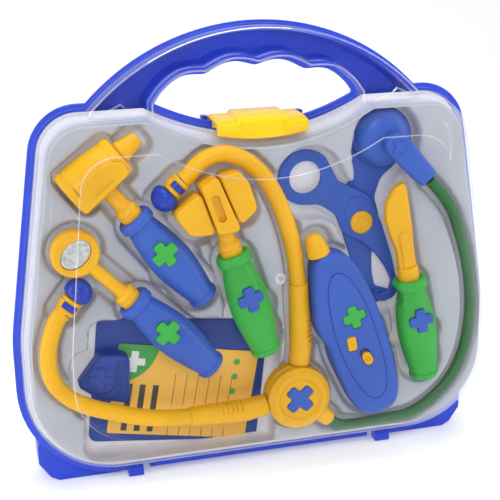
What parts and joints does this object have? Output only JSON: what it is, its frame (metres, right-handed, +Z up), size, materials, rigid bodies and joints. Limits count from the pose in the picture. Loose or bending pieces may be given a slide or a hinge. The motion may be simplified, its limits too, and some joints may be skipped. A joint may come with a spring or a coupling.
{
  "type": "toy doctor case",
  "caption": "Toy doctor case: hinged clear lid, snap latch and carrying handle over a formed tray of pretend medical instruments.",
  "frame": {"origin": "on the standing surface, under the middle of the case's width and depth", "axes": "+X to the right seen from the lid's side, +Y from the clear lid towards the back shell, +Z up from the feet to the handle"},
  "size_m": [0.294, 0.0644, 0.2702],
  "materials": {
    "clear_lid": "clear, glossy",
    "case_blue": "glossy",
    "latch_yellow": "glossy",
    "tray_white": "formed sheet, satin",
    "toy_blue": "satin",
    "toy_green": "satin",
    "toy_yellow": "satin",
    "mirror_foil": "crinkled foil",
    "hose_green": "satin, soft",
    "board_blue": "satin",
    "card_paper": "printed card"
  },
  "bodies": {
    "case": {"back_shell": "case_blue", "inner_tray": "tray_white", "otoscope_head": "toy_yellow", "otoscope_speculum": "toy_yellow", "otoscope_grip": "toy_blue", "otoscope_cross": "toy_green", "hammer_yoke": "toy_yellow", "hammer_block_left": "toy_yellow", "hammer_block_right": "toy_yellow", "hammer_grip": "toy_green", "hammer_cross": "toy_blue", "mirror_frame": "toy_yellow", "mirror_glass": "mirror_foil", "mirror_grip": "toy_blue", "mirror_cross": "toy_green", "scalpel_blade": "toy_yellow", "scalpel_grip": "toy_green", "scalpel_cross": "toy_blue", "thermometer_front": "toy_blue", "thermometer_back": "toy_blue", "thermometer_tip": "toy_yellow", "thermometer_window": "toy_yellow", "thermometer_cross": "toy_green", "scissors_far": "toy_blue", "scissors_rivet": "toy_yellow", "stethoscope_tube_upper": "toy_yellow", "stethoscope_tube_lower": "toy_yellow", "stethoscope_hub": "toy_yellow", "stethoscope_hub_cross": "toy_blue", "ear_sleeve_upper": "toy_yellow", "ear_sleeve_lower": "toy_yellow", "ear_tip_upper": "toy_blue", "ear_tip_lower": "toy_blue", "stethoscope_hose": "hose_green", "chest_disc": "toy_blue", "chest_dome": "toy_blue", "chest_connector": "toy_blue", "clipboard_board": "board_blue", "clipboard_clip": "board_blue", "record_card": "card_paper"},
    "lid": {"front_lid": "clear_lid"},
    "latch": {"latch": "latch_yellow"},
    "scissors_near_half": {"scissors_near": "toy_blue"},
    "thermometer_switch": {"thermometer_switch": "toy_yellow"}
  },
  "joints": [
    {"name": "lid_hinge", "type": "hinge", "parent": "case", "child": "lid", "pos_m": [0, 0.00425, 0.0025], "axis": [1, 0, 0], "range_deg": [0, 165]},
    {"name": "latch_hinge", "type": "hinge", "parent": "case", "child": "latch", "pos_m": [0, 0.01375, 0.214], "axis": [1, 0, 0], "range_deg": [-75, 0]},
    {"name": "scissors_pivot", "type": "hinge", "parent": "case", "child": "scissors_near_half", "pos_m": [0.0622, -0.00035, 0.149], "axis": [0, 1, 0], "range_deg": [-3.5, 0]},
    {"name": "thermometer_slide", "type": "slide", "parent": "case", "child": "thermometer_switch", "axis": [-0.515, 0, 0.8572], "range_m": [0, 0.003]}
  ]
}
